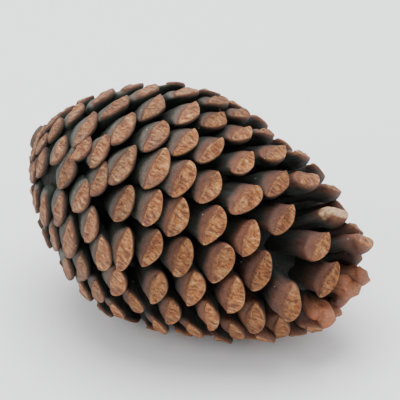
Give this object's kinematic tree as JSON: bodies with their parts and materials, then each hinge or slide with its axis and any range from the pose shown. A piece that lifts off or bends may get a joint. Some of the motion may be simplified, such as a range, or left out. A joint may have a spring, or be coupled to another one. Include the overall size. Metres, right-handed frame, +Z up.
{
  "type": "pine cone",
  "caption": "Open dry pine cone lying on its side, its woody scales splayed from a central spindle in one spiral, with a diamond-shaped face on the end of each scale.",
  "frame": {"origin": "middle of the footprint of the cone's box, on the surface it lies on", "axes": "+Z up; +X the way the cone's tip points; the tip hangs lower than the stalk end"},
  "size_m": [0.1246, 0.0824, 0.0809],
  "materials": {
    "cone_wood": "matte"
  },
  "bodies": {
    "root": {"cone": "cone_wood"}
  },
  "joints": []
}
